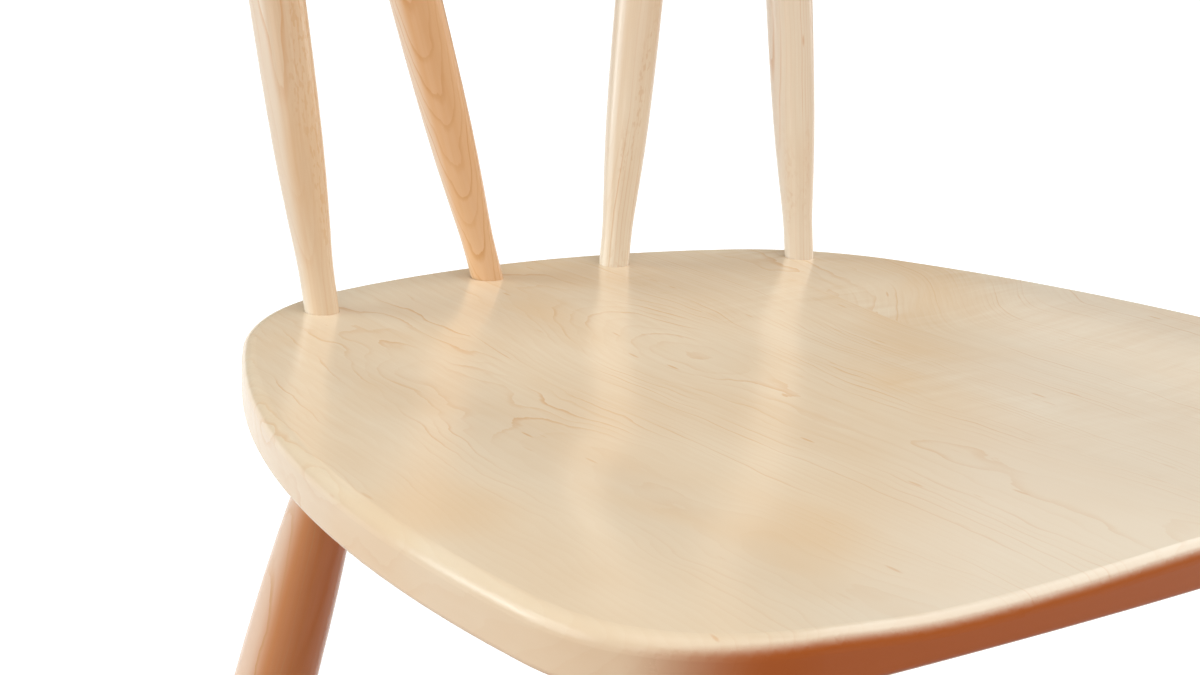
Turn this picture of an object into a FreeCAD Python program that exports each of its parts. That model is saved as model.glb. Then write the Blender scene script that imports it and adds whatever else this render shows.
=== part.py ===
import FreeCAD, Part
import math
import os
from FreeCAD import Vector

# Spindle-back chair in turned and carved maple, modelled standing on its feet
# X is across the chair, +Y is towards the back, +Z is up
# Lengths are in millimetres and angles in degrees

# Seat
seat_height = 450.0
seat_width = 460.0
seat_depth = 411.0
seat_thickness = 32.0
side_face_height = 17.2
underside_bevel_width = 40.0
top_edge_round = 5.5
lower_edge_round = 2.0
first_joint_from_left = 135.0
second_joint_from_left = 250.0
third_joint_from_left = 328.0

# Plan of the seat, as a chain of arcs that run into each other
back_radius = 364.0
shoulder_radius = 114.5
side_radius = 470.0
corner_radius = 62.0
front_radius = 2900.0
widest_from_back = 286.5

# Hollow of the seat
hollow_depth = 4.8
hollow_rim = 34.0
hollow_side_blend_width = 90.0
hollow_from_back = 66.0
hollow_back_blend_length = 120.0
pommel_height = 2.4
pommel_half_width = 62.0
pommel_start_from_front = 170.0
hollow_margin = 30.0
hollow_steps = 24

# Legs
leg_neck_diameter = 24.0
leg_full_diameter = 36.0
leg_foot_diameter = 20.0
leg_neck_length = 14.0
leg_full_below_seat = 190.0
leg_tenon_length = 21.0
rear_leg_from_side = 92.0
rear_leg_from_back = 86.0
rear_leg_splay_angle = 9.0
rear_leg_rake_angle = 12.0
front_leg_from_side = 78.0
front_leg_from_front = 56.0
front_leg_splay_angle = 9.0
front_leg_rake_angle = 8.0

# Stretchers
side_stretcher_height = 176.0
side_stretcher_end_diameter = 14.0
side_stretcher_full_diameter = 24.0
cross_stretcher_end_diameter = 12.0
cross_stretcher_full_diameter = 20.0
stretcher_neck_length = 26.0
side_tenon_past_axis = 3.0
cross_tenon_past_axis = 2.0

# Spindles
outer_spindle_from_side = 96.7
inner_spindle_half_gap = 36.1
spindle_row_inset = 24.6
spindle_row_radius = 341.0
outer_spindle_spread = 14.7
inner_spindle_spread = 58.0
spindle_foot_diameter = 14.5
spindle_full_diameter = 23.4
spindle_neck_diameter = 12.0
spindle_straight_length = 12.0
spindle_seat_tenon = 20.0
spindle_crest_tenon = 30.0

# Crest rail
crest_rise = 275.0
crest_setback = 65.6
crest_lean_angle = 13.0
crest_radius = 392.0
crest_thickness = 20.0
crest_overhang = 68.0
crest_height = 80.0
crest_end_height = 62.0
crest_end_rise = 8.0
crest_corner_round = 16.0
crest_bottom_blend_radius = 90.0
crest_edge_round = 5.0

# Floor glides and their nails
glide_diameter = 18.0
glide_thickness = 4.0
glide_edge_round = 1.0
nail_diameter = 2.4
nail_length = 17.0
nail_head_diameter = 6.0
nail_head_thickness = 1.2
nail_head_depth = 1.0

# Room left past the end of each tenon, and how far outside the wood a drill starts
socket_end_gap = 1.0
drill_lead = 32.0

# Size of the differences that count as none
near = 0.01

# Shares of the way to the fullest point and of the swelling reached there
swell_shape = ((0.14, 0.20), (0.35, 0.61), (0.64, 0.89))

UP = Vector(0, 0, 1)
seat_underside = seat_height - seat_thickness
bevel_top = seat_height - side_face_height

# How far a foot is turned on below the floor before it is trimmed level
foot_trim = leg_foot_diameter / 2


def direction(start, end):
    line = end.sub(start)
    return line.normalize()


def along(start, way, distance):
    return start.add(Vector(way).multiply(distance))


def mirrored(point):
    return Vector(-point.x, point.y, point.z)


# Plan of the seat

def where_circles_meet(centre_a, radius_a, centre_b, radius_b):
    gap = centre_b.sub(centre_a)
    distance = gap.Length
    ahead = (radius_a ** 2 - radius_b ** 2 + distance ** 2) / (2 * distance)
    aside = math.sqrt(radius_a ** 2 - ahead ** 2)
    across = Vector(-gap.y, gap.x, 0).multiply(aside / distance)
    foot = along(centre_a, direction(centre_a, centre_b), ahead)
    return foot.add(across), foot.sub(across)


def seat_arc_centres():
    back = Vector(0, -back_radius, 0)
    side = Vector(seat_width / 2 - side_radius, -widest_from_back, 0)
    front = Vector(0, front_radius - seat_depth, 0)
    shoulders = where_circles_meet(back, back_radius - shoulder_radius, side, side_radius - shoulder_radius)
    corners = where_circles_meet(side, side_radius - corner_radius, front, front_radius - corner_radius)
    shoulder = max(shoulders, key=lambda point: point.y)
    corner = max(corners, key=lambda point: point.x)
    return back, shoulder, side, corner, front


def plan_arc(centre, radius, start, end):
    middle = direction(centre, start).add(direction(centre, end)).normalize()
    return Part.Arc(start, along(centre, middle, radius), end).toShape()


def seat_wire(inset, height):
    back, shoulder, side, corner, front = seat_arc_centres()
    shoulder_start = along(back, direction(back, shoulder), back_radius - inset)
    shoulder_end = along(side, direction(side, shoulder), side_radius - inset)
    corner_start = along(side, direction(side, corner), side_radius - inset)
    corner_end = along(front, direction(front, corner), front_radius - inset)
    right_side = [
        (shoulder, shoulder_radius, shoulder_start, shoulder_end),
        (side, side_radius, shoulder_end, corner_start),
        (corner, corner_radius, corner_start, corner_end),
    ]
    edges = [plan_arc(back, back_radius - inset, mirrored(shoulder_start), shoulder_start)]
    for centre, radius, start, end in right_side:
        edges.append(plan_arc(centre, radius - inset, start, end))
    edges.append(plan_arc(front, front_radius - inset, corner_end, mirrored(corner_end)))
    for centre, radius, start, end in reversed(right_side):
        edges.append(plan_arc(mirrored(centre), radius - inset, mirrored(end), mirrored(start)))
    wire = Part.Wire(edges)
    wire.translate(Vector(0, 0, height))
    return wire


# Seat

# Smooth step with no kink at either end

def ease(share):
    share = min(max(share, 0.0), 1.0)
    return share ** 3 * (share * (share * 6 - 15) + 10)


def seat_hollow(x, y):
    from_side = seat_width / 2 - hollow_rim - abs(x)
    from_back = -y - hollow_from_back
    from_front = seat_depth + y
    bowl = ease(from_side / hollow_side_blend_width) * ease(from_back / hollow_back_blend_length)
    pommel = math.exp(-(x / pommel_half_width) ** 2)
    pommel *= ease((pommel_start_from_front - from_front) / pommel_start_from_front)
    return hollow_depth * bowl - pommel_height * pommel


def seat_top_cutter():
    rows = []
    for i in range(hollow_steps + 1):
        x = (i / hollow_steps - 0.5) * (seat_width + 2 * hollow_margin)
        row = []
        for j in range(hollow_steps + 1):
            y = hollow_margin - j / hollow_steps * (seat_depth + 2 * hollow_margin)
            row.append(Vector(x, y, seat_height - seat_hollow(x, y)))
        rows.append(row)
    surface = Part.BSplineSurface()
    surface.interpolate(rows)
    return surface.toShape().extrude(Vector(0, 0, 2 * seat_thickness))


def seat_blank():
    rim = Part.Face(seat_wire(0, bevel_top)).extrude(Vector(0, 0, side_face_height + hollow_depth))
    below, above = seat_wire(underside_bevel_width, seat_underside), seat_wire(0, bevel_top)
    bevel = Part.makeLoft([below, above], True, True)
    blank = rim.fuse(bevel).removeSplitter().cut(seat_top_cutter()).Solids[0]
    top = [face for face in blank.Faces if face.normalAt(0.5, 0.5).z > 0.5]
    top = max(top, key=lambda face: face.Area)
    blank = blank.makeFillet(top_edge_round, top.Edges)
    rim_edges = []
    for edge in blank.Edges:
        box = edge.BoundBox
        if abs(box.ZMin - bevel_top) < near and abs(box.ZMax - bevel_top) < near:
            rim_edges.append(edge)
    return blank.makeFillet(lower_edge_round, rim_edges)


def seat_boards(seat):
    board_edges = [0, first_joint_from_left, second_joint_from_left, third_joint_from_left, seat_width]
    boards = []
    for left, right in zip(board_edges, board_edges[1:]):
        corner = Vector(left - seat_width / 2, -2 * seat_depth, 0)
        slab = Part.makeBox(right - left, 3 * seat_depth, 2 * seat_height, corner)
        boards.append(seat.common(slab))
    return boards


# Turned pieces, made along +Z and then laid between two points

def swelling(narrow_at, narrow_radius, full_at, full_radius, blends=True):
    points = [Vector(narrow_radius, 0, narrow_at)]
    for way, share in swell_shape:
        radius = narrow_radius + share * (full_radius - narrow_radius)
        points.append(Vector(radius, 0, narrow_at + way * (full_at - narrow_at)))
    points.append(Vector(full_radius, 0, full_at))
    rising = UP if full_at > narrow_at else Vector(0, 0, -1)
    curve = Part.BSplineCurve()
    if blends:
        curve.interpolate(Points=points, InitialTangent=rising, FinalTangent=rising)
    else:
        slope = points[2].sub(points[0])
        curve.interpolate(Points=points[:1] + points[2:], InitialTangent=slope, FinalTangent=rising)
    return curve.toShape()


def turned(start, end, low_radius, low_straight, full_at, full_radius, high_radius, high_straight):
    length = end.sub(start).Length
    low_end = Vector(low_radius, 0, low_straight)
    high_end = Vector(high_radius, 0, length - high_straight)
    edges = [Part.LineSegment(Vector(0, 0, 0), Vector(low_radius, 0, 0)).toShape()]
    if low_straight > 0:
        edges.append(Part.LineSegment(Vector(low_radius, 0, 0), low_end).toShape())
    edges.append(swelling(low_end.z, low_radius, full_at, full_radius, low_straight > 0))
    edges.append(swelling(high_end.z, high_radius, full_at, full_radius))
    edges.append(Part.LineSegment(high_end, Vector(high_radius, 0, length)).toShape())
    edges.append(Part.LineSegment(Vector(high_radius, 0, length), Vector(0, 0, length)).toShape())
    edges.append(Part.LineSegment(Vector(0, 0, length), Vector(0, 0, 0)).toShape())
    outline = Part.Wire(Part.__sortEdges__(edges))
    piece = Part.Face(outline).revolve(Vector(0, 0, 0), UP, 360)
    piece.rotate(Vector(0, 0, 0), *turn_from_up(direction(start, end)))
    piece.translate(start)
    return piece


def turn_from_up(way):
    turn = FreeCAD.Rotation(UP, way)
    return turn.Axis, math.degrees(turn.Angle)


def socket(mouth, way, diameter, depth):
    start = along(mouth, way, -drill_lead)
    return Part.makeCylinder(diameter / 2, drill_lead + depth + socket_end_gap, start, way)


# Legs, each from its foot to the blind end of its tenon in the seat

def leg_axis(side, rear):
    if rear:
        x = side * (seat_width / 2 - rear_leg_from_side)
        mouth = Vector(x, -rear_leg_from_back, seat_underside)
        splay, rake = rear_leg_splay_angle, rear_leg_rake_angle
    else:
        x = side * (seat_width / 2 - front_leg_from_side)
        mouth = Vector(x, front_leg_from_front - seat_depth, seat_underside)
        splay, rake = front_leg_splay_angle, -front_leg_rake_angle
    down = Vector(side * math.tan(math.radians(splay)), math.tan(math.radians(rake)), -1)
    return mouth, down


def leg_point(side, rear, height):
    mouth, down = leg_axis(side, rear)
    return mouth.add(Vector(down).multiply(mouth.z - height))


def leg(side, rear):
    seat_point = leg_axis(side, rear)[0]
    foot = leg_point(side, rear, -foot_trim)
    top = along(seat_point, direction(foot, seat_point), leg_tenon_length)
    full_at = foot.distanceToPoint(seat_point) - leg_full_below_seat
    high_straight = leg_tenon_length + leg_neck_length
    piece = turned(foot, top, leg_foot_diameter / 2, 0, full_at, leg_full_diameter / 2,
                   leg_neck_diameter / 2, high_straight)
    trim_foot = Vector(foot.x, foot.y, glide_thickness - 2 * foot_trim)
    trim = Part.makeCylinder(leg_full_diameter, 2 * foot_trim, trim_foot)
    mouth, far = stretcher_ends(side)
    if rear:
        mouth, far = far, mouth
    hole = socket(mouth, direction(far, mouth), side_stretcher_end_diameter, side_tenon_past_axis)
    nail_hole = nail_shank(leg_point(side, rear, 0), socket_end_gap)
    return piece.cut(trim).cut(hole).cut(nail_hole).Solids[0]


# Stretchers

def stretcher_ends(side):
    return leg_point(side, False, side_stretcher_height), leg_point(side, True, side_stretcher_height)


def stretcher(first, last, end_diameter, full_diameter, past_axis):
    way = direction(first, last)
    start = along(first, way, -past_axis)
    end = along(last, way, past_axis)
    full_at = start.distanceToPoint(end) / 2
    return turned(start, end, end_diameter / 2, stretcher_neck_length, full_at, full_diameter / 2,
                  end_diameter / 2, stretcher_neck_length)


def side_stretcher(side):
    front_end, rear_end = stretcher_ends(side)
    piece = stretcher(front_end, rear_end, side_stretcher_end_diameter, side_stretcher_full_diameter,
                      side_tenon_past_axis)
    middle = front_end.add(rear_end).multiply(0.5)
    hole = socket(middle, Vector(side, 0, 0), cross_stretcher_end_diameter, cross_tenon_past_axis)
    return piece.cut(hole).Solids[0]


def cross_stretcher():
    front_end, rear_end = stretcher_ends(1)
    right = front_end.add(rear_end).multiply(0.5)
    return stretcher(mirrored(right), right, cross_stretcher_end_diameter, cross_stretcher_full_diameter,
                     cross_tenon_past_axis)


# Crest rail, bent round a cylinder that leans back with the spindles

def crest_point(x, height):
    y = math.sqrt(crest_radius ** 2 - x ** 2) - crest_radius
    leaning = FreeCAD.Rotation(Vector(1, 0, 0), -crest_lean_angle).multVec(Vector(x, y, height))
    return crest_foot().add(leaning)


def crest_foot():
    return Vector(0, crest_setback - spindle_row_inset, seat_height + crest_rise)


def crest_board():
    end = outer_spindle_top_x() + crest_overhang
    flat_end = outer_spindle_top_x() + spindle_neck_diameter
    front = -crest_radius
    lower = [Vector(-end, front, crest_end_rise), Vector(-flat_end, front, 0)]
    lower += [mirrored(point) for point in reversed(lower)]
    right_top = Vector(end, front, crest_end_height)
    left_top = mirrored(right_top)
    edges = [Part.LineSegment(start, stop).toShape() for start, stop in zip(lower, lower[1:] + [right_top])]
    edges.append(Part.Arc(right_top, Vector(0, front, crest_height), left_top).toShape())
    edges.append(Part.LineSegment(left_top, lower[0]).toShape())
    board = Part.Face(Part.Wire(edges)).extrude(Vector(0, crest_radius + crest_thickness, 0))
    board = board.makeFillet(crest_corner_round, edges_from_front(board, end))
    return board.makeFillet(crest_bottom_blend_radius, edges_from_front(board, flat_end))


def edges_from_front(board, x):
    found = []
    for edge in board.Edges:
        box = edge.BoundBox
        runs_back = box.XLength < near and box.ZLength < near
        if runs_back and abs(abs(box.XMin) - x) < near:
            found.append(edge)
    return found


def crest_rail(spindles):
    axis_foot = Vector(0, -crest_radius, -crest_height)
    outside = Part.makeCylinder(crest_radius + crest_thickness / 2, 3 * crest_height, axis_foot)
    inside = Part.makeCylinder(crest_radius - crest_thickness / 2, 3 * crest_height, axis_foot)
    rail = crest_board().common(outside.cut(inside)).Solids[0]
    broad = sorted(rail.Faces, key=lambda face: face.Area)[-2:]
    rail = rail.makeFillet(crest_edge_round, broad[0].Edges + broad[1].Edges)
    rail.rotate(Vector(0, 0, 0), Vector(1, 0, 0), -crest_lean_angle)
    rail.translate(crest_foot())
    for foot, top in spindles:
        rail = rail.cut(socket(top, direction(foot, top), spindle_neck_diameter, spindle_crest_tenon))
    return rail.Solids[0]


# Spindles

def outer_spindle_foot_x():
    return seat_width / 2 - outer_spindle_from_side


def outer_spindle_top_x():
    return outer_spindle_foot_x() + outer_spindle_spread


def spindle_ends():
    pairs = {}
    outer = ("outer", outer_spindle_foot_x(), outer_spindle_top_x())
    inner = ("inner", inner_spindle_half_gap, inner_spindle_half_gap + inner_spindle_spread)
    for name, foot_x, top_x in (outer, inner):
        back = math.sqrt(spindle_row_radius ** 2 - foot_x ** 2) - spindle_row_radius
        foot = Vector(foot_x, back - spindle_row_inset, seat_height)
        top = crest_point(top_x, 0)
        pairs[name + "_spindle_right"] = (foot, top)
        pairs[name + "_spindle_left"] = (mirrored(foot), mirrored(top))
    return pairs


def spindle(foot, top):
    way = direction(foot, top)
    start = along(foot, way, -spindle_seat_tenon)
    end = along(top, way, spindle_crest_tenon)
    full_at = spindle_seat_tenon + foot.distanceToPoint(top) / 2
    return turned(start, end, spindle_foot_diameter / 2, spindle_seat_tenon + spindle_straight_length,
                  full_at, spindle_full_diameter / 2,
                  spindle_neck_diameter / 2, spindle_crest_tenon + spindle_straight_length)


# Floor glides, each nailed up into the foot of its leg

def glide(side, rear):
    foot = leg_point(side, rear, 0)
    disc = Part.makeCylinder(glide_diameter / 2, glide_thickness, foot)
    lower_edge = [edge for edge in disc.Edges if edge.BoundBox.ZMax < near]
    disc = disc.makeFillet(glide_edge_round, lower_edge)
    recess = Part.makeCylinder(nail_head_diameter / 2, nail_head_depth + nail_head_thickness, foot)
    return disc.cut(recess).cut(nail_shank(foot, 0)).Solids[0]


def nail_shank(foot, extra):
    start = foot.add(Vector(0, 0, nail_head_depth))
    return Part.makeCylinder(nail_diameter / 2, nail_length + extra, start)


def nail(side, rear):
    foot = leg_point(side, rear, 0)
    head_foot = foot.add(Vector(0, 0, nail_head_depth))
    head = Part.makeCylinder(nail_head_diameter / 2, nail_head_thickness, head_foot)
    return head.fuse(nail_shank(foot, 0)).removeSplitter().Solids[0]


# The whole chair, with left and right as seen by someone who faces its front

SIDES = {"left": -1, "right": 1}
ENDS = {"front": False, "rear": True}


def seat_with_sockets(spindles):
    seat = seat_blank()
    for side in SIDES.values():
        for rear in ENDS.values():
            mouth = leg_axis(side, rear)[0]
            up = direction(leg_point(side, rear, 0), mouth)
            seat = seat.cut(socket(mouth, up, leg_neck_diameter, leg_tenon_length))
    for foot, top in spindles:
        seat = seat.cut(socket(foot, direction(top, foot), spindle_foot_diameter, spindle_seat_tenon))
    return seat


def chair():
    nodes = {}
    spindles = spindle_ends()
    for number, board in enumerate(seat_boards(seat_with_sockets(spindles.values())), 1):
        nodes["seat_board_%d" % number] = board
    for side_name, side in SIDES.items():
        for end_name, rear in ENDS.items():
            nodes["%s_leg_%s" % (end_name, side_name)] = leg(side, rear)
            nodes["foot_glide_%s_%s" % (end_name, side_name)] = glide(side, rear)
        nodes["side_stretcher_" + side_name] = side_stretcher(side)
    nodes["cross_stretcher"] = cross_stretcher()
    for name, (foot, top) in spindles.items():
        nodes[name] = spindle(foot, top)
    nodes["crest_rail"] = crest_rail(spindles.values())
    nails = [nail(side, rear) for side in SIDES.values() for rear in ENDS.values()]
    nodes["glide_nails"] = Part.makeCompound(nails)
    return nodes


# The origin is on the floor, in the middle of the chair's box

def centred(nodes):
    boxes = [shape.optimalBoundingBox() for shape in nodes.values()]
    front = min(box.YMin for box in boxes)
    back = max(box.YMax for box in boxes)
    for shape in nodes.values():
        shape.translate(Vector(0, -(front + back) / 2, 0))
    print("front edge of the seat at y", round(-seat_depth - (front + back) / 2, 2))
    print("size", round(back - front, 2), "deep", round(max(box.ZMax for box in boxes), 2), "high")
    return nodes


os.makedirs("parts", exist_ok=True)
for name, shape in centred(chair()).items():
    print(name, len(shape.Solids), shape.isValid(), round(shape.Volume))
    shape.exportStep("parts/%s.step" % name)
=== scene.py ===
import math

import bpy
from mathutils import Matrix, Vector


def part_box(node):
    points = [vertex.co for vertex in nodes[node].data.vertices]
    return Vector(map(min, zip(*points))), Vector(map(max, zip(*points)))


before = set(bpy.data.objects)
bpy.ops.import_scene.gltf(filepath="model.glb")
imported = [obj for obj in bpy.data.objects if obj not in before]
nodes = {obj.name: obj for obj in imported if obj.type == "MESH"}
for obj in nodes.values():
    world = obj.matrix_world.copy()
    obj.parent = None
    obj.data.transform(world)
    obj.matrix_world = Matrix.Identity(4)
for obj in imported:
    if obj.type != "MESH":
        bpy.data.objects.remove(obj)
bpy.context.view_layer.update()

# The camera stands to the left of the front and looks down across the seat, tipped slightly
camera_position = Vector((-0.46638, -0.53842, 0.63786))
camera_heading = 35.72
camera_pitch = 14.78
camera_roll = 2.64
camera_lens = 53.862
sensor_width = 36.0

# Lamps: the compass angle from the left towards the back, the height above the horizon,
# how wide the lamp looks, all in degrees, then its strength and its colour
lamps = {
    "window": (24.0, 12.0, 55.0, 2.36, (0.87, 1.0, 1.03)),
    "window_pane": (38.0, 13.0, 12.0, 0.20, (1.0, 1.0, 1.0)),
    "far_pane": (-31.0, 12.0, 26.0, 0.25, (1.0, 1.0, 1.0)),
    "front_ceiling": (-90.0, 60.0, 80.0, 2.1, (1.0, 1.0, 0.99)),
    "right_side": (176.0, 26.0, 50.0, 1.1, (1.0, 1.0, 1.0)),
}

# World, dim and even
world_grey = (0.15, 0.13, 0.11)

# Floor
floor_size = 80.0
floor_for_camera = (1.0, 1.0, 1.0)
floor_for_light = (0.37, 0.16, 0.055)
floor_lift = 0.18


# Small helpers for node trees

def is_socket(value):
    return isinstance(value, bpy.types.NodeSocket)


def put(tree, socket, value):
    if is_socket(value):
        tree.links.new(value, socket)
    else:
        socket.default_value = value


def add(tree, kind, inputs=None, **settings):
    made = tree.nodes.new(kind)
    for name, value in settings.items():
        setattr(made, name, value)
    for name, value in (inputs or {}).items():
        put(tree, made.inputs[name], value)
    return made


def calc(tree, operation, *values):
    made = tree.nodes.new("ShaderNodeMath")
    made.operation = operation
    for socket, value in zip(made.inputs, values):
        put(tree, socket, value)
    return made.outputs[0]


def smooth(tree, value, low, high, to_low=0.0, to_high=1.0):
    made = add(tree, "ShaderNodeMapRange", {"Value": value, "From Min": low, "From Max": high,
                                            "To Min": to_low, "To Max": to_high})
    made.interpolation_type = "SMOOTHSTEP"
    return made.outputs["Result"]


def mix_colour(tree, share, first, second, blend="MIX"):
    made = add(tree, "ShaderNodeMix", data_type="RGBA", blend_type=blend)
    put(tree, made.inputs["Factor"], share)
    put(tree, made.inputs[6], first)
    put(tree, made.inputs[7], second)
    return made.outputs[2]


def stretched(tree, vector, scale, seed):
    made = add(tree, "ShaderNodeMapping", {"Vector": vector, "Scale": scale, "Location": seed})
    return made.outputs["Vector"]


def noise(tree, vector, scale, seed, detail=2.0, roughness=0.5, distortion=0.0):
    moved = stretched(tree, vector, scale, seed)
    made = add(tree, "ShaderNodeTexNoise", {"Vector": moved, "Scale": 1.0, "Detail": detail,
                                            "Roughness": roughness, "Distortion": distortion})
    return made.outputs["Fac"]


def colour(red, green, blue):
    return red, green, blue, 1.0


def new_material(name):
    material = bpy.data.materials.new(name)
    material.use_nodes = True
    material.node_tree.nodes.clear()
    return material, material.node_tree


def finish_material(tree, shader):
    output = tree.nodes.new("ShaderNodeOutputMaterial")
    tree.links.new(shader.outputs[0], output.inputs["Surface"])


# Maple under a clear satin finish
# A piece is cut out of a log: growth rings lie round a pith line that passes near or through it
# In the wood's own axes the grain runs along Y, Z points out of the broad face and X runs across it

pale = colour(0.86, 0.74, 0.57)
tan = colour(0.74, 0.53, 0.33)
honey = colour(0.80, 0.55, 0.31)
cream = colour(0.89, 0.81, 0.70)
heartwood = colour(0.78, 0.41, 0.17)
# Russet is partly a leg's own colour and partly painted shade: the leg stands in shade under the seat
russet_and_painted_shade = colour(0.70, 0.27, 0.08)
ring_brown = colour(0.68, 0.36, 0.15)
end_grain = colour(0.43, 0.105, 0.012)
# The colour of the painted shade in corners where two pieces meet
painted_corner_shade = colour(0.30, 0.17, 0.08)

# How many times each figure repeats in a metre: across the grain, along it, and out of the face
log_bends = (9.0, 2.6, 9.0)
ring_waves = (32.0, 20.0, 32.0)
ring_shivers = (120.0, 45.0, 120.0)
ring_breaks = (35.0, 14.0, 35.0)
fine_fibres = (1100.0, 22.0, 1100.0)
coarse_fibres = (300.0, 7.0, 300.0)
soft_patches = (16.0, 10.0, 16.0)
honey_patches = (13.0, 10.0, 13.0)
dash_cells = (210.0, 42.0, 210.0)
curl_waves = (22.0, 170.0, 22.0)
curl_areas = (9.0, 11.0, 9.0)
fleck_bands = (90.0, 9.0, 90.0)
fleck_grain = (700.0, 260.0, 700.0)
end_pores = (1500.0, 60.0, 1500.0)

# What is left of the faintest ring, and of a ring where it is faintest
faintest_ring = 0.10
faintest_stretch = 0.04

# How far the painted corner shade reaches and how deep the relief is, in metres, and how the finish bends
# light
painted_shade_reach = 0.003
bump_depth = 0.00005
finish_ior = 1.40


def wood_axes(tree, grain, face, centre):
    across = grain.cross(face).normalized()
    out = across.cross(grain).normalized()
    turn = Matrix((across, grain, out)).to_euler("XYZ")
    turned_centre = Matrix((across, grain, out)) @ centre
    where = add(tree, "ShaderNodeTexCoord").outputs["Object"]
    place = add(tree, "ShaderNodeMapping", {"Vector": where, "Rotation": turn,
                                            "Location": -turned_centre})
    normal = add(tree, "ShaderNodeNewGeometry").outputs["Normal"]
    facing = add(tree, "ShaderNodeMapping", {"Vector": normal, "Rotation": turn}, vector_type="VECTOR")
    return place.outputs["Vector"], facing.outputs["Vector"]


# Where the log bends, its grain leans sideways between two places along the piece

def leaned(tree, place, start, end, shift):
    part = add(tree, "ShaderNodeSeparateXYZ", {"Vector": place})
    moved = calc(tree, "ADD", part.outputs[0], smooth(tree, part.outputs[1], start, end, 0.0, -shift))
    joined = add(tree, "ShaderNodeCombineXYZ", {"X": moved, "Y": part.outputs[1], "Z": part.outputs[2]})
    return joined.outputs[0]


# How far a point lies from the pith line

def ring_distance(tree, place, seed, pith, tilt, dip, wander):
    part = add(tree, "ShaderNodeSeparateXYZ", {"Vector": place})
    x, y, z = part.outputs[0], part.outputs[1], part.outputs[2]
    off_x = calc(tree, "SUBTRACT", x, calc(tree, "MULTIPLY_ADD", y, tilt[0], pith[0]))
    off_z = calc(tree, "SUBTRACT", z, calc(tree, "MULTIPLY_ADD", y, tilt[1], pith[1]))
    dip_middle, dip_length, dip_depth = dip
    if dip_depth:
        away = calc(tree, "DIVIDE", calc(tree, "SUBTRACT", y, dip_middle), dip_length)
        away = calc(tree, "POWER", away, 2.0)
        near = calc(tree, "EXPONENT", calc(tree, "MULTIPLY", away, -1.0))
        off_z = calc(tree, "MULTIPLY_ADD", near, -dip_depth, off_z)
    squares = calc(tree, "ADD", calc(tree, "POWER", off_x, 2.0), calc(tree, "POWER", off_z, 2.0))
    distance = calc(tree, "SQRT", squares)
    bends = [
        (noise(tree, place, log_bends, seed, detail=1.0), wander),
        (noise(tree, place, ring_waves, seed, detail=2.0), wander * 0.36),
        (noise(tree, place, ring_shivers, seed, detail=3.0, roughness=0.6), wander * 0.075),
    ]
    for bend, reach in bends:
        distance = calc(tree, "MULTIPLY_ADD", calc(tree, "SUBTRACT", bend, 0.5), reach, distance)
    return distance


# Growth rings: each darkens slowly and ends at a thin line, and some are bolder than others

def growth_rings(tree, place, seed, distance, ring, even):
    count = calc(tree, "DIVIDE", distance, ring)
    turns = calc(tree, "FRACT", count)
    late = calc(tree, "MULTIPLY", smooth(tree, turns, 0.66, 0.96), smooth(tree, turns, 1.0, 0.97))
    number = add(tree, "ShaderNodeTexWhiteNoise", {"W": calc(tree, "FLOOR", count)},
                 noise_dimensions="1D")
    bold = smooth(tree, number.outputs["Value"], 0.2, 0.9, max(faintest_ring, even), 1.0)
    here = noise(tree, place, ring_breaks, seed, detail=2.0)
    strength = smooth(tree, here, 0.38, 0.66, max(faintest_stretch, even), 1.0)
    late = calc(tree, "MULTIPLY", late, calc(tree, "MULTIPLY", bold, strength))
    early = smooth(tree, turns, 0.0, 1.0)
    return late, early


# Short dark dashes: one Voronoi cell in seven holds one

def dark_dashes(tree, place, seed):
    spread = stretched(tree, place, dash_cells, seed)
    cells = add(tree, "ShaderNodeTexVoronoi", {"Vector": spread, "Scale": 1.0})
    chosen = add(tree, "ShaderNodeSeparateColor", {"Color": cells.outputs["Color"]})
    dash = calc(tree, "MULTIPLY", smooth(tree, cells.outputs["Distance"], 0.20, 0.08),
                calc(tree, "GREATER_THAN", chosen.outputs[0], 0.86))
    return calc(tree, "MULTIPLY", dash, chosen.outputs[1])


# Curl: a faint ripple across the grain, in some places only

def curl_ripple(tree, place, seed):
    ripple = noise(tree, place, curl_waves, seed, detail=1.0, distortion=0.6)
    rippled = smooth(tree, noise(tree, place, curl_areas, seed), 0.45, 0.62)
    return calc(tree, "MULTIPLY", calc(tree, "SUBTRACT", ripple, 0.5), rippled)


# Ray flecks: tiny dark specks in bands along the grain

def ray_flecks(tree, place, seed):
    band = noise(tree, place, fleck_bands, seed, detail=1.0)
    rays = smooth(tree, noise(tree, place, fleck_grain, seed, detail=1.0), 0.50, 0.62)
    return calc(tree, "MULTIPLY", rays, smooth(tree, band, 0.48, 0.60))


# End grain drinks the finish and turns deep amber

def with_end_grain(tree, paint, place, facing, seed, late):
    across = add(tree, "ShaderNodeSeparateXYZ", {"Vector": facing}).outputs[1]
    ends = smooth(tree, calc(tree, "ABSOLUTE", across), 0.55, 0.97)
    pores = noise(tree, place, end_pores, seed, detail=2.0)
    ends_paint = mix_colour(tree, smooth(tree, pores, 0.35, 0.75), end_grain, ring_brown, "MULTIPLY")
    ends_paint = mix_colour(tree, calc(tree, "MULTIPLY", late, 0.35), end_grain, ends_paint)
    return mix_colour(tree, ends, paint, ends_paint), ends


# Painted shade: the colour darkens in the corner where two pieces meet, where ambient occlusion finds it
# closed in

def with_painted_corner_shade(tree, paint):
    corner = add(tree, "ShaderNodeAmbientOcclusion", {"Distance": painted_shade_reach}, samples=8)
    painted_shade_mask = smooth(tree, corner.outputs["AO"], 0.62, 0.30)
    return mix_colour(tree, calc(tree, "MULTIPLY", painted_shade_mask, 0.7), paint, painted_corner_shade)


# One piece of wood
# tilt, dip and lean bend the pith line, and wander makes the rings uneven
# A painted highlight pales the piece towards cream along one direction: the direction, where it starts
# and ends, and its share
# fade weakens the figure along the grain: where it starts and ends, and what is left at the start
# pieces with the same stain share their soft patches, so their joints don't show as a step

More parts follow.
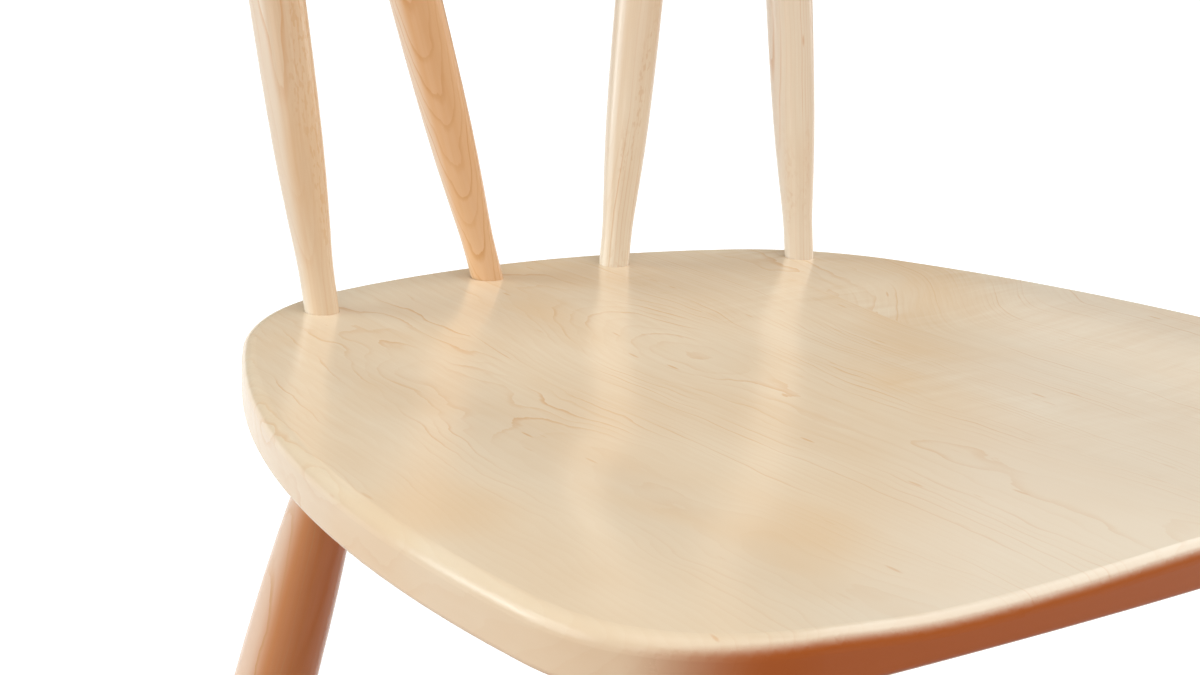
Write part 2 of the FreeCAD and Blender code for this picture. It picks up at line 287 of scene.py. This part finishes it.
def wood(name, grain, face, centre, seed, pith, tilt=(0.0, 0.0), dip=(0.0, 1.0, 0.0), lean=None,
         wander=0.03, ring=0.0030, warmth=0.0, tint=None, line=0.45, curl=0.0, fade=None, painted_highlight=None,
         streak=1.0, even=0.0, flecks=0.0, stain=None):
    material, tree = new_material(name)
    stain = Vector((seed if stain is None else stain,) * 3) * 2.3
    seed = Vector((seed * 3.7, seed * 1.9, seed * 5.3))
    place, facing = wood_axes(tree, grain, face, centre)
    # A painted highlight: a share of cream that grows along one direction
    if painted_highlight:
        way, painted_highlight_start, painted_highlight_end, painted_highlight_share = painted_highlight
        spot = add(tree, "ShaderNodeVectorMath", {0: place, 1: way}, operation="DOT_PRODUCT")
        painted_highlight_mask = smooth(tree, spot.outputs["Value"], painted_highlight_start, painted_highlight_end, 0.0, painted_highlight_share)
    if lean:
        place = leaned(tree, place, *lean)
    distance = ring_distance(tree, place, seed, pith, tilt, dip, wander)
    along = add(tree, "ShaderNodeSeparateXYZ", {"Vector": place}).outputs[1]
    clear = smooth(tree, along, fade[0], fade[1], fade[2], 1.0) if fade else 1.0
    late, early = growth_rings(tree, place, seed, distance, ring, even)
    late = calc(tree, "MULTIPLY", late, clear)

    fibre = noise(tree, place, fine_fibres, seed, detail=3.0, roughness=0.65)
    coarse = noise(tree, place, coarse_fibres, seed, detail=3.0, roughness=0.6)
    soft = noise(tree, place, soft_patches, stain, detail=3.0, roughness=0.55)
    glow = noise(tree, place, honey_patches, stain * 1.7, detail=2.0, distortion=0.5)

    tone = calc(tree, "MULTIPLY_ADD", calc(tree, "SUBTRACT", soft, 0.5), 0.88, 0.30 + warmth)
    streaks = calc(tree, "MULTIPLY", calc(tree, "SUBTRACT", coarse, 0.5), 0.50 * streak)
    streaks = calc(tree, "MULTIPLY_ADD", calc(tree, "SUBTRACT", fibre, 0.5), 0.30 * streak, streaks)
    tone = calc(tree, "MULTIPLY_ADD", streaks, clear, tone)
    tone = calc(tree, "MULTIPLY_ADD", early, 0.06, tone)
    tone = calc(tree, "MULTIPLY_ADD", curl_ripple(tree, place, seed), curl, tone)
    if flecks:
        tone = calc(tree, "MULTIPLY_ADD", ray_flecks(tree, place, seed), flecks, tone)
    tone = calc(tree, "MAXIMUM", calc(tree, "MINIMUM", tone, 1.0), 0.0)

    paint = mix_colour(tree, tone, pale, tan)
    paint = mix_colour(tree, smooth(tree, glow, 0.48, 0.80, 0.0, 0.5), paint, honey)
    if tint:
        paint = mix_colour(tree, tint[1], paint, tint[0])
    # The painted highlight pales the colour towards cream
    if painted_highlight:
        paint = mix_colour(tree, painted_highlight_mask, paint, cream)
    paint = mix_colour(tree, calc(tree, "MULTIPLY", late, line), paint, ring_brown)
    dash = dark_dashes(tree, place, seed)
    paint = mix_colour(tree, calc(tree, "MULTIPLY", dash, 0.55), paint, ring_brown)
    paint, ends = with_end_grain(tree, paint, place, facing, seed, late)
    # Painted shade darkens the corners where two pieces meet
    paint = with_painted_corner_shade(tree, paint)

    rough = calc(tree, "MULTIPLY_ADD", fibre, 0.10, 0.13)
    rough = calc(tree, "MULTIPLY_ADD", soft, 0.06, rough)
    rough = calc(tree, "MULTIPLY_ADD", ends, 0.20, rough)
    height = calc(tree, "MULTIPLY_ADD", late, -0.4, fibre)
    bump = add(tree, "ShaderNodeBump", {"Height": height, "Strength": 0.15, "Distance": bump_depth})
    shader = add(tree, "ShaderNodeBsdfPrincipled", {"Base Color": paint, "Roughness": rough,
                                                    "Normal": bump.outputs["Normal"]})
    shader.inputs["IOR"].default_value = finish_ior
    finish_material(tree, shader)
    return material


def dress(node, material):
    for slot in nodes[node].material_slots:
        slot.material = material


# Seat boards: grain from back to front, each cut from its own part of a log
# Their pith lines are placed from the middle of the chair, at the height of the seat's top

ALONG_SEAT = Vector((0.0, 1.0, 0.0))
UPWARD = Vector((0.0, 0.0, 1.0))
SEAT_TOP = Vector((0.0, 0.0, 0.45))

# A painted highlight pales the front right of the seat: the way there, where it starts and ends, and by
# what share
PAINTED_FRONT_RIGHT_HIGHLIGHT = (Vector((0.61, -0.79, 0.0)), 0.055, 0.115, 0.45)

seat_boards = {
    "seat_board_1": dict(seed=1, pith=(-0.131, -0.045), tilt=(0.02, -0.065), wander=0.034,
                         warmth=0.07, line=0.6, fade=(-0.13, 0.02, 0.2), painted_highlight=PAINTED_FRONT_RIGHT_HIGHLIGHT),
    "seat_board_2": dict(seed=2, pith=(-0.022, -0.045), tilt=(-0.02, -0.06), dip=(0.02, 0.05, 0.012),
                         wander=0.026, warmth=0.10, line=0.6, fade=(-0.18, -0.02, 0.4), painted_highlight=PAINTED_FRONT_RIGHT_HIGHLIGHT),
    "seat_board_3": dict(seed=3, pith=(-0.050, -0.030), tilt=(0.0, 0.02), warmth=0.10, line=0.45,
                         curl=0.7, painted_highlight=PAINTED_FRONT_RIGHT_HIGHLIGHT),
    "seat_board_4": dict(seed=4, pith=(0.050, -0.050), tilt=(0.0, 0.05), lean=(-0.01, 0.08, 0.055),
                         warmth=0.06, line=0.45, curl=1.0, painted_highlight=PAINTED_FRONT_RIGHT_HIGHLIGHT),
}

for node, cut in seat_boards.items():
    dress(node, wood(node, ALONG_SEAT, UPWARD, SEAT_TOP, stain=10, **cut))


# Turned pieces: the grain follows the piece's own axis, found from where its two ends lie

def piece_axis(node):
    points = [vertex.co.copy() for vertex in nodes[node].data.vertices]
    spread = [max(point[i] for point in points) - min(point[i] for point in points) for i in range(3)]
    main = spread.index(max(spread))
    points.sort(key=lambda point: point[main])
    count = len(points) // 20
    low = sum(points[:count], Vector()) / count
    high = sum(points[-count:], Vector()) / count
    return (high - low).normalized(), (high + low) / 2


# Their broad face looks towards the camera, and some carry a painted highlight that makes them paler on
# the left as the camera sees them

FACE_OF_TURNED = Vector((-0.56, -0.80, 0.2))
PAINTED_LEFT_HIGHLIGHT = Vector((-1.0, 0.0, 0.0))

turned_pieces = {
    "outer_spindle_left": dict(seed=11, pith=(0.012, -0.060), wander=0.006, warmth=0.10,
                               tint=(heartwood, 0.15), line=0.75, even=0.25, flecks=0.4,
                               painted_highlight=(PAINTED_LEFT_HIGHLIGHT, 0.001, 0.006, 0.65)),
    "inner_spindle_left": dict(seed=12, pith=(0.002, -0.034), tilt=(0.02, -0.085), wander=0.016,
                               warmth=0.20, tint=(heartwood, 0.60), line=1.3, even=0.45,
                               painted_highlight=(PAINTED_LEFT_HIGHLIGHT, 0.004, 0.009, 0.60)),
    "inner_spindle_right": dict(seed=13, pith=(0.050, -0.030), wander=0.005, warmth=-0.10,
                                tint=(cream, 0.20), line=0.5, even=0.2, flecks=0.5,
                                painted_highlight=(PAINTED_LEFT_HIGHLIGHT, 0.003, 0.009, 0.55)),
    "outer_spindle_right": dict(seed=14, pith=(0.060, -0.020), wander=0.005, warmth=-0.15,
                                tint=(cream, 0.40), line=0.5, even=0.2, flecks=0.5,
                                painted_highlight=(PAINTED_LEFT_HIGHLIGHT, 0.003, 0.008, 0.9)),
    # The rear left leg's russet tint is partly its own colour and partly painted shade
    "rear_leg_left": dict(seed=15, pith=(0.060, -0.050), wander=0.010, warmth=0.25,
                          tint=(russet_and_painted_shade, 0.85), line=0.9, even=0.3,
                          painted_highlight=(PAINTED_LEFT_HIGHLIGHT, 0.002, 0.011, 0.55)),
    "rear_leg_right": dict(seed=16, pith=(-0.050, -0.030), warmth=0.10, tint=(heartwood, 0.15), line=0.6),
    "front_leg_left": dict(seed=17, pith=(-0.030, -0.050), tilt=(0.05, -0.06), warmth=0.12, line=0.7),
    "front_leg_right": dict(seed=18, pith=(0.055, -0.010), warmth=0.05, line=0.6),
    "side_stretcher_left": dict(seed=19, pith=(0.030, -0.030), warmth=0.10, line=0.6),
    "side_stretcher_right": dict(seed=20, pith=(-0.040, -0.020), warmth=0.15, tint=(heartwood, 0.2),
                                 line=0.6),
    "cross_stretcher": dict(seed=21, pith=(0.020, -0.050), tilt=(0.04, 0.06), warmth=0.05, line=0.7),
}

for node, cut in turned_pieces.items():
    axis, middle = piece_axis(node)
    dress(node, wood(node, axis, FACE_OF_TURNED, middle, ring=0.0017, streak=1.8, **cut))


# Crest rail: the grain runs along it from side to side

ALONG_CREST = Vector((1.0, 0.0, 0.0))
low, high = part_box("crest_rail")
dress("crest_rail", wood("crest_rail", ALONG_CREST, Vector((0.0, -1.0, 0.2)), (low + high) / 2, seed=31,
                         pith=(0.03, -0.06), tilt=(0.05, 0.03), line=0.42))


# Glides of pale nylon, and their nails

def nylon():
    material, tree = new_material("glide_nylon")
    where = add(tree, "ShaderNodeTexCoord").outputs["Object"]
    cloudy = noise(tree, where, (180.0, 180.0, 180.0), Vector((2.0, 5.0, 1.0)), detail=3.0)
    scuffs = noise(tree, where, (1400.0, 300.0, 900.0), Vector((4.0, 1.0, 7.0)), detail=3.0)
    paint = mix_colour(tree, cloudy, colour(0.74, 0.72, 0.67), colour(0.64, 0.61, 0.55))
    paint = mix_colour(tree, smooth(tree, scuffs, 0.62, 0.75), paint, colour(0.45, 0.42, 0.38))
    bump = add(tree, "ShaderNodeBump", {"Height": scuffs, "Strength": 0.3, "Distance": 0.00008})
    rough = calc(tree, "MULTIPLY_ADD", scuffs, 0.3, 0.35)
    shader = add(tree, "ShaderNodeBsdfPrincipled", {"Base Color": paint, "Roughness": rough,
                                                    "Normal": bump.outputs["Normal"]})
    finish_material(tree, shader)
    return material


def steel():
    material, tree = new_material("nail_steel")
    where = add(tree, "ShaderNodeTexCoord").outputs["Object"]
    worn = noise(tree, where, (600.0, 600.0, 600.0), Vector((3.0, 3.0, 9.0)), detail=4.0)
    paint = mix_colour(tree, worn, colour(0.62, 0.62, 0.63), colour(0.48, 0.47, 0.46))
    bump = add(tree, "ShaderNodeBump", {"Height": worn, "Strength": 0.3, "Distance": 0.00005})
    rough = calc(tree, "MULTIPLY_ADD", worn, 0.25, 0.22)
    shader = add(tree, "ShaderNodeBsdfPrincipled", {"Base Color": paint, "Metallic": 1.0,
                                                    "Roughness": rough,
                                                    "Normal": bump.outputs["Normal"]})
    finish_material(tree, shader)
    return material


glide_finish = nylon()
for node in nodes:
    if node.startswith("foot_glide"):
        dress(node, glide_finish)
dress("glide_nails", steel())


# Floor: white to the camera, tan to the light that bounces off it

def make_floor():
    half = floor_size / 2
    mesh = bpy.data.meshes.new("floor")
    corners = [(-half, -half, 0), (half, -half, 0), (half, half, 0), (-half, half, 0)]
    mesh.from_pydata(corners, [], [(0, 1, 2, 3)])
    floor = bpy.data.objects.new("floor", mesh)
    bpy.context.scene.collection.objects.link(floor)
    material, tree = new_material("floor")
    path = add(tree, "ShaderNodeLightPath")
    seen = calc(tree, "MAXIMUM", path.outputs["Is Camera Ray"],
                calc(tree, "MAXIMUM", path.outputs["Is Glossy Ray"], path.outputs["Is Transmission Ray"]))
    bounce = add(tree, "ShaderNodeBsdfDiffuse", {"Color": colour(*floor_for_light)})
    white = add(tree, "ShaderNodeBsdfDiffuse", {"Color": colour(*floor_for_camera)})
    lift = add(tree, "ShaderNodeEmission", {"Color": colour(1.0, 1.0, 1.0), "Strength": floor_lift})
    lit = add(tree, "ShaderNodeAddShader")
    tree.links.new(white.outputs[0], lit.inputs[0])
    tree.links.new(lift.outputs[0], lit.inputs[1])
    both = add(tree, "ShaderNodeMixShader", {"Fac": seen})
    tree.links.new(bounce.outputs[0], both.inputs[1])
    tree.links.new(lit.outputs[0], both.inputs[2])
    finish_material(tree, both)
    mesh.materials.append(material)


def make_world():
    world = bpy.data.worlds.new("studio")
    world.use_nodes = True
    world.node_tree.nodes["Background"].inputs["Color"].default_value = colour(*world_grey)
    bpy.context.scene.world = world


def make_lamp(name, compass, height, width, strength, light_colour):
    data = bpy.data.lights.new(name, "SUN")
    data.energy = strength
    data.color = light_colour
    data.angle = math.radians(width)
    lamp = bpy.data.objects.new(name, data)
    round_chair = Matrix.Rotation(math.radians(180.0 - compass), 3, "Z")
    turn = round_chair @ Matrix.Rotation(math.radians(-height), 3, "Y")
    towards_lamp = turn @ Vector((1.0, 0.0, 0.0))
    lamp.rotation_euler = towards_lamp.to_track_quat("Z", "Y").to_euler()
    bpy.context.scene.collection.objects.link(lamp)


def make_camera():
    data = bpy.data.cameras.new("camera")
    data.lens = camera_lens
    data.sensor_width = sensor_width
    data.clip_start = 0.01
    data.clip_end = 200.0
    camera = bpy.data.objects.new("camera", data)
    heading = Matrix.Rotation(math.radians(-camera_heading), 4, "Z")
    pitch = Matrix.Rotation(math.radians(90.0 - camera_pitch), 4, "X")
    roll = Matrix.Rotation(math.radians(camera_roll), 4, "Z")
    camera.matrix_world = Matrix.Translation(camera_position) @ heading @ pitch @ roll
    bpy.context.scene.collection.objects.link(camera)
    bpy.context.scene.camera = camera


make_floor()
make_world()
for name, settings in lamps.items():
    make_lamp(name, *settings)
make_camera()
bpy.context.scene.view_settings.view_transform = "Standard"
